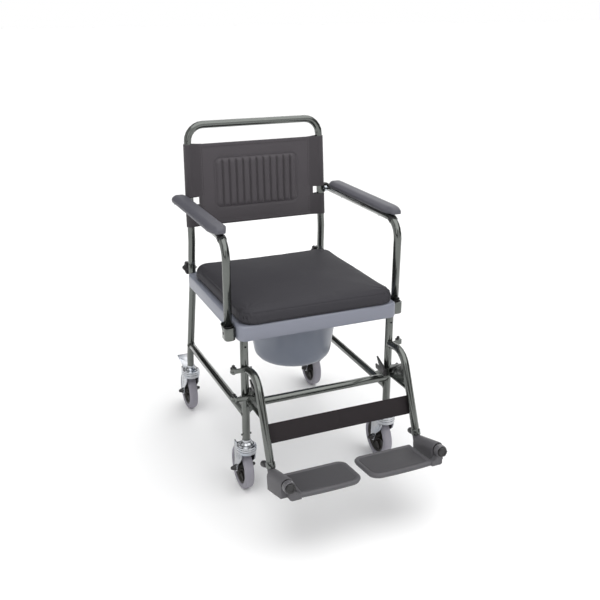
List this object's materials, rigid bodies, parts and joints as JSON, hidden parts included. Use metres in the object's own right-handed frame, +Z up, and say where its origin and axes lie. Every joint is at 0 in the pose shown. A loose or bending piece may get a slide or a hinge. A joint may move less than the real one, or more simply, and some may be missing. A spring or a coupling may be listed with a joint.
{
  "type": "wheeled commode chair",
  "caption": "Wheeled commode chair: tube frame on castors, padded seat over a sliding bucket, cloth back, lift-up arms and swing-away folding footrests.",
  "frame": {"origin": "on the floor, under the middle of the chair's bounding box", "axes": "the chair faces -Y, +X is the right of someone who looks at its front, +Z is up"},
  "size_m": [0.555, 0.9238, 0.953],
  "materials": {
    "frame_paint": "metallic grey paint, satin",
    "zinc": "bright zinc plating",
    "tyre": "light grey moulded rubber, matt",
    "wheel_centre": "dark moulded plastic",
    "black_plastic": "black moulded plastic, satin",
    "pan_plastic": "blue-grey moulded plastic, satin",
    "bucket_plastic": "translucent blue-grey plastic, satin",
    "seat_vinyl": "dark grey vinyl over foam, soft sheen",
    "back_cloth": "dark grey coated cloth, matt",
    "pad_foam": "grey self-skinned foam, matt",
    "strap_web": "dark woven web",
    "footrest_plastic": "grey moulded plastic, fine texture"
  },
  "bodies": {
    "frame": {"front_leg_left": "frame_paint", "front_leg_right": "frame_paint", "rear_post_left": "frame_paint", "rear_post_right": "frame_paint", "side_rail_left": "frame_paint", "side_rail_right": "frame_paint", "crossbar": "frame_paint", "seat_frame": "frame_paint", "seat_pan": "pan_plastic", "arm_socket_left": "frame_paint", "arm_socket_right": "frame_paint", "castor_head_front_left": "zinc", "castor_head_front_right": "zinc", "castor_head_rear_left": "zinc", "castor_head_rear_right": "zinc"},
    "castor_front_left": {"castor_fork_front_left": "zinc", "castor_axle_front_left": "black_plastic"},
    "castor_front_right": {"castor_fork_front_right": "zinc", "castor_axle_front_right": "black_plastic"},
    "castor_rear_left": {"castor_fork_rear_left": "zinc", "castor_axle_rear_left": "black_plastic"},
    "castor_rear_right": {"castor_fork_rear_right": "zinc", "castor_axle_rear_right": "black_plastic"},
    "wheel_front_left": {"castor_hub_front_left": "wheel_centre", "castor_tyre_front_left": "tyre"},
    "wheel_front_right": {"castor_hub_front_right": "wheel_centre", "castor_tyre_front_right": "tyre"},
    "wheel_rear_left": {"castor_hub_rear_left": "wheel_centre", "castor_tyre_rear_left": "tyre"},
    "wheel_rear_right": {"castor_hub_rear_right": "wheel_centre", "castor_tyre_rear_right": "tyre"},
    "brake_left": {"brake_pedal_left": "zinc"},
    "brake_right": {"brake_pedal_right": "zinc"},
    "back": {"back_frame": "frame_paint", "back_sling": "back_cloth", "arm_pivot_left": "zinc", "arm_pivot_right": "zinc"},
    "clamp_left": {"star_knob_left": "black_plastic"},
    "clamp_right": {"star_knob_right": "black_plastic"},
    "arm_left": {"arm_tube_left": "frame_paint", "arm_pad_left": "pad_foam"},
    "arm_right": {"arm_tube_right": "frame_paint", "arm_pad_right": "pad_foam"},
    "legrest_left": {"hanger_left": "frame_paint", "calf_strap_left": "strap_web"},
    "legrest_right": {"hanger_right": "frame_paint", "calf_strap_right": "strap_web"},
    "latch_left": {"release_lever_left": "black_plastic"},
    "latch_right": {"release_lever_right": "black_plastic"},
    "footrest_left": {"foot_housing_left": "footrest_plastic", "foot_bolt_left": "black_plastic"},
    "footrest_right": {"foot_housing_right": "footrest_plastic", "foot_bolt_right": "black_plastic"},
    "plate_left": {"footplate_left": "footrest_plastic"},
    "plate_right": {"footplate_right": "footrest_plastic"},
    "height_clamp_left": {"height_knob_left": "black_plastic"},
    "height_clamp_right": {"height_knob_right": "black_plastic"},
    "cushion": {"seat_cushion": "seat_vinyl"},
    "pail": {"bucket": "bucket_plastic"}
  },
  "joints": [
    {"name": "swivel_front_left", "type": "hinge", "parent": "frame", "child": "castor_front_left", "pos_m": [-0.2145, -0.15245, 0.15], "axis": [0, 0, 1], "continuous": true},
    {"name": "swivel_front_right", "type": "hinge", "parent": "frame", "child": "castor_front_right", "pos_m": [0.2145, -0.15245, 0.15], "axis": [0, 0, 1], "continuous": true},
    {"name": "swivel_rear_left", "type": "hinge", "parent": "frame", "child": "castor_rear_left", "pos_m": [-0.2224, 0.36355, 0.15], "axis": [0, 0, 1], "continuous": true},
    {"name": "swivel_rear_right", "type": "hinge", "parent": "frame", "child": "castor_rear_right", "pos_m": [0.2224, 0.36355, 0.15], "axis": [0, 0, 1], "continuous": true},
    {"name": "roll_front_left", "type": "hinge", "parent": "castor_front_left", "child": "wheel_front_left", "pos_m": [-0.2145, -0.11705, 0.0625], "axis": [1, 0, 0], "continuous": true},
    {"name": "roll_front_right", "type": "hinge", "parent": "castor_front_right", "child": "wheel_front_right", "pos_m": [0.2145, -0.11705, 0.0625], "axis": [1, 0, 0], "continuous": true},
    {"name": "roll_rear_left", "type": "hinge", "parent": "castor_rear_left", "child": "wheel_rear_left", "pos_m": [-0.2224, 0.39895, 0.0625], "axis": [1, 0, 0], "continuous": true},
    {"name": "roll_rear_right", "type": "hinge", "parent": "castor_rear_right", "child": "wheel_rear_right", "pos_m": [0.2224, 0.39895, 0.0625], "axis": [1, 0, 0], "continuous": true},
    {"name": "brake_left", "type": "hinge", "parent": "castor_rear_left", "child": "brake_left", "pos_m": [-0.2224, 0.39655, 0.143], "axis": [1, 0, 0], "range_deg": [-12, 0]},
    {"name": "brake_right", "type": "hinge", "parent": "castor_rear_right", "child": "brake_right", "pos_m": [0.2224, 0.39655, 0.143], "axis": [1, 0, 0], "range_deg": [-12, 0]},
    {"name": "back_lift", "type": "slide", "parent": "frame", "child": "back", "axis": [0, 0, 1], "range_m": [0, 0.04]},
    {"name": "clamp_turn_left", "type": "hinge", "parent": "frame", "child": "clamp_left", "pos_m": [-0.2155, 0.31355, 0.506], "axis": [0, 1, 0], "range_deg": [0, 720]},
    {"name": "clamp_turn_right", "type": "hinge", "parent": "frame", "child": "clamp_right", "pos_m": [0.2155, 0.31355, 0.506], "axis": [0, 1, 0], "range_deg": [0, 720]},
    {"name": "arm_lift_left", "type": "hinge", "parent": "back", "child": "arm_left", "pos_m": [-0.246, 0.31373, 0.7215], "axis": [-1, 0, 0], "range_deg": [0, 95]},
    {"name": "arm_lift_right", "type": "hinge", "parent": "back", "child": "arm_right", "pos_m": [0.246, 0.31373, 0.7215], "axis": [-1, 0, 0], "range_deg": [0, 95]},
    {"name": "legrest_swing_left", "type": "hinge", "parent": "frame", "child": "legrest_left", "pos_m": [-0.245, -0.15245, 0.284], "axis": [0, 0, -1], "range_deg": [0, 90]},
    {"name": "legrest_swing_right", "type": "hinge", "parent": "frame", "child": "legrest_right", "pos_m": [0.245, -0.15245, 0.284], "axis": [0, 0, 1], "range_deg": [0, 90]},
    {"name": "latch_turn_left", "type": "hinge", "parent": "legrest_left", "child": "latch_left", "pos_m": [-0.192, -0.17845, 0.285], "axis": [0, 0, -1], "range_deg": [0, 20], "stiffness_Nm_per_rad": 0.05},
    {"name": "latch_turn_right", "type": "hinge", "parent": "legrest_right", "child": "latch_right", "pos_m": [0.192, -0.17845, 0.285], "axis": [0, 0, 1], "range_deg": [0, 20], "stiffness_Nm_per_rad": 0.05},
    {"name": "height_slide_left", "type": "slide", "parent": "legrest_left", "child": "footrest_left", "axis": [0, -0.3852, -0.9228], "range_m": [0, 0.04]},
    {"name": "height_slide_right", "type": "slide", "parent": "legrest_right", "child": "footrest_right", "axis": [0, -0.3852, -0.9228], "range_m": [0, 0.04]},
    {"name": "plate_fold_left", "type": "hinge", "parent": "footrest_left", "child": "plate_left", "pos_m": [-0.211, -0.39185, 0.1864], "axis": [0, -0.9936, 0.1132], "range_deg": [0, 90]},
    {"name": "plate_fold_right", "type": "hinge", "parent": "footrest_right", "child": "plate_right", "pos_m": [0.211, -0.39185, 0.1864], "axis": [0, 0.9936, -0.1132], "range_deg": [0, 90]},
    {"name": "height_clamp_turn_left", "type": "hinge", "parent": "legrest_left", "child": "height_clamp_left", "pos_m": [-0.211, -0.32556, 0.18392], "axis": [-0.1478, 0.9127, -0.381], "range_deg": [0, 720]},
    {"name": "height_clamp_turn_right", "type": "hinge", "parent": "legrest_right", "child": "height_clamp_right", "pos_m": [0.211, -0.32556, 0.18392], "axis": [0.1478, 0.9127, -0.381], "range_deg": [0, 720]},
    {"name": "cushion_lift", "type": "slide", "parent": "frame", "child": "cushion", "axis": [0, 0, 1], "range_m": [0, 0.15]},
    {"name": "bucket_slide", "type": "slide", "parent": "frame", "child": "pail", "axis": [0, 1, 0], "range_m": [0, 0.3]}
  ]
}
